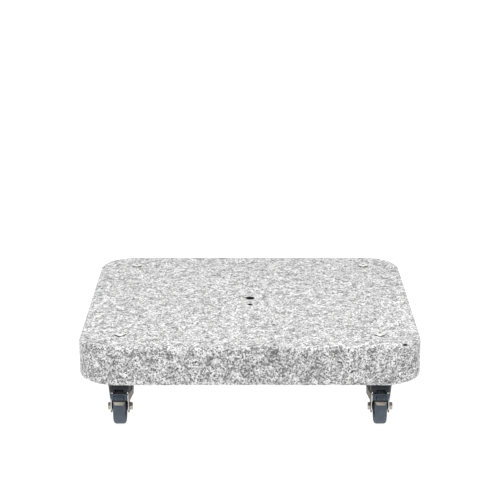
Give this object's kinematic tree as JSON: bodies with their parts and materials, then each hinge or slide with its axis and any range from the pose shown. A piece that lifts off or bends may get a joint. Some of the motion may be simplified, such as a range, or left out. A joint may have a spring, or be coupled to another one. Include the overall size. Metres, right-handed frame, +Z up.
{
  "type": "rollable granite parasol base",
  "caption": "Square stone slab with rounded corners on braked swivel castors, drilled through the middle to carry a parasol's stand tube.",
  "frame": {"origin": "on the floor, under the middle of the slab", "axes": "+Z up, -Y towards the front (the side of the small hole and of the front castors' brake pedals), +X to the right seen from the front"},
  "size_m": [0.72, 0.72, 0.1897],
  "materials": {
    "granite": "fine salt-and-pepper granite, flamed rough on all faces",
    "stainless": "stainless steel, machined",
    "zinc": "zinc-plated pressed steel",
    "cover_plastic": "moulded charcoal plastic, satin",
    "pedal_plastic": "moulded blue-grey plastic, satin",
    "tread_rubber": "blue-grey thermoplastic rubber, matt",
    "core_plastic": "moulded dark grey plastic",
    "brake_steel": "bright pressed steel"
  },
  "bodies": {
    "stone": {"granite_slab": "granite", "fixing_bolt_front_left": "stainless", "fixing_nut_front_left": "zinc", "swivel_head_front_left": "zinc", "fixing_bolt_front_right": "stainless", "fixing_nut_front_right": "zinc", "swivel_head_front_right": "zinc", "fixing_bolt_rear_left": "stainless", "fixing_nut_rear_left": "zinc", "swivel_head_rear_left": "zinc", "fixing_bolt_rear_right": "stainless", "fixing_nut_rear_right": "zinc", "swivel_head_rear_right": "zinc"},
    "swivel_front_left": {"fork_front_left": "zinc", "brake_cover_front_left": "cover_plastic", "ball_ring_front_left": "zinc", "axle_bolt_front_left": "zinc", "axle_nut_front_left": "zinc", "axle_sleeve_front_left": "zinc", "pedal_pin_front_left": "zinc"},
    "wheel_front_left": {"wheel_core_front_left": "core_plastic", "wheel_tread_front_left": "tread_rubber"},
    "pedal_front_left": {"brake_pedal_front_left": "pedal_plastic", "brake_plate_front_left": "brake_steel"},
    "swivel_front_right": {"fork_front_right": "zinc", "brake_cover_front_right": "cover_plastic", "ball_ring_front_right": "zinc", "axle_bolt_front_right": "zinc", "axle_nut_front_right": "zinc", "axle_sleeve_front_right": "zinc", "pedal_pin_front_right": "zinc"},
    "wheel_front_right": {"wheel_core_front_right": "core_plastic", "wheel_tread_front_right": "tread_rubber"},
    "pedal_front_right": {"brake_pedal_front_right": "pedal_plastic", "brake_plate_front_right": "brake_steel"},
    "swivel_rear_left": {"fork_rear_left": "zinc", "brake_cover_rear_left": "cover_plastic", "ball_ring_rear_left": "zinc", "axle_bolt_rear_left": "zinc", "axle_nut_rear_left": "zinc", "axle_sleeve_rear_left": "zinc", "pedal_pin_rear_left": "zinc"},
    "wheel_rear_left": {"wheel_core_rear_left": "core_plastic", "wheel_tread_rear_left": "tread_rubber"},
    "pedal_rear_left": {"brake_pedal_rear_left": "pedal_plastic", "brake_plate_rear_left": "brake_steel"},
    "swivel_rear_right": {"fork_rear_right": "zinc", "brake_cover_rear_right": "cover_plastic", "ball_ring_rear_right": "zinc", "axle_bolt_rear_right": "zinc", "axle_nut_rear_right": "zinc", "axle_sleeve_rear_right": "zinc", "pedal_pin_rear_right": "zinc"},
    "wheel_rear_right": {"wheel_core_rear_right": "core_plastic", "wheel_tread_rear_right": "tread_rubber"},
    "pedal_rear_right": {"brake_pedal_rear_right": "pedal_plastic", "brake_plate_rear_right": "brake_steel"}
  },
  "joints": [
    {"name": "castor_turn_front_left", "type": "hinge", "parent": "stone", "child": "swivel_front_left", "pos_m": [-0.274, -0.274, 0.09], "axis": [0, 0, 1], "continuous": true},
    {"name": "wheel_roll_front_left", "type": "hinge", "parent": "swivel_front_left", "child": "wheel_front_left", "pos_m": [-0.274, -0.304, 0.0375], "axis": [1, 0, 0], "continuous": true},
    {"name": "brake_release_front_left", "type": "hinge", "parent": "swivel_front_left", "child": "pedal_front_left", "pos_m": [-0.274, -0.294, 0.0815], "axis": [-1, 0, 0], "range_deg": [0, 9]},
    {"name": "castor_turn_front_right", "type": "hinge", "parent": "stone", "child": "swivel_front_right", "pos_m": [0.274, -0.274, 0.09], "axis": [0, 0, 1], "continuous": true},
    {"name": "wheel_roll_front_right", "type": "hinge", "parent": "swivel_front_right", "child": "wheel_front_right", "pos_m": [0.274, -0.304, 0.0375], "axis": [1, 0, 0], "continuous": true},
    {"name": "brake_release_front_right", "type": "hinge", "parent": "swivel_front_right", "child": "pedal_front_right", "pos_m": [0.274, -0.294, 0.0815], "axis": [-1, 0, 0], "range_deg": [0, 9]},
    {"name": "castor_turn_rear_left", "type": "hinge", "parent": "stone", "child": "swivel_rear_left", "pos_m": [-0.274, 0.274, 0.09], "axis": [0, 0, 1], "continuous": true},
    {"name": "wheel_roll_rear_left", "type": "hinge", "parent": "swivel_rear_left", "child": "wheel_rear_left", "pos_m": [-0.274, 0.304, 0.0375], "axis": [1, 0, 0], "continuous": true},
    {"name": "brake_release_rear_left", "type": "hinge", "parent": "swivel_rear_left", "child": "pedal_rear_left", "pos_m": [-0.274, 0.294, 0.0815], "axis": [1, 0, 0], "range_deg": [0, 9]},
    {"name": "castor_turn_rear_right", "type": "hinge", "parent": "stone", "child": "swivel_rear_right", "pos_m": [0.274, 0.274, 0.09], "axis": [0, 0, 1], "continuous": true},
    {"name": "wheel_roll_rear_right", "type": "hinge", "parent": "swivel_rear_right", "child": "wheel_rear_right", "pos_m": [0.274, 0.304, 0.0375], "axis": [1, 0, 0], "continuous": true},
    {"name": "brake_release_rear_right", "type": "hinge", "parent": "swivel_rear_right", "child": "pedal_rear_right", "pos_m": [0.274, 0.294, 0.0815], "axis": [1, 0, 0], "range_deg": [0, 9]}
  ]
}
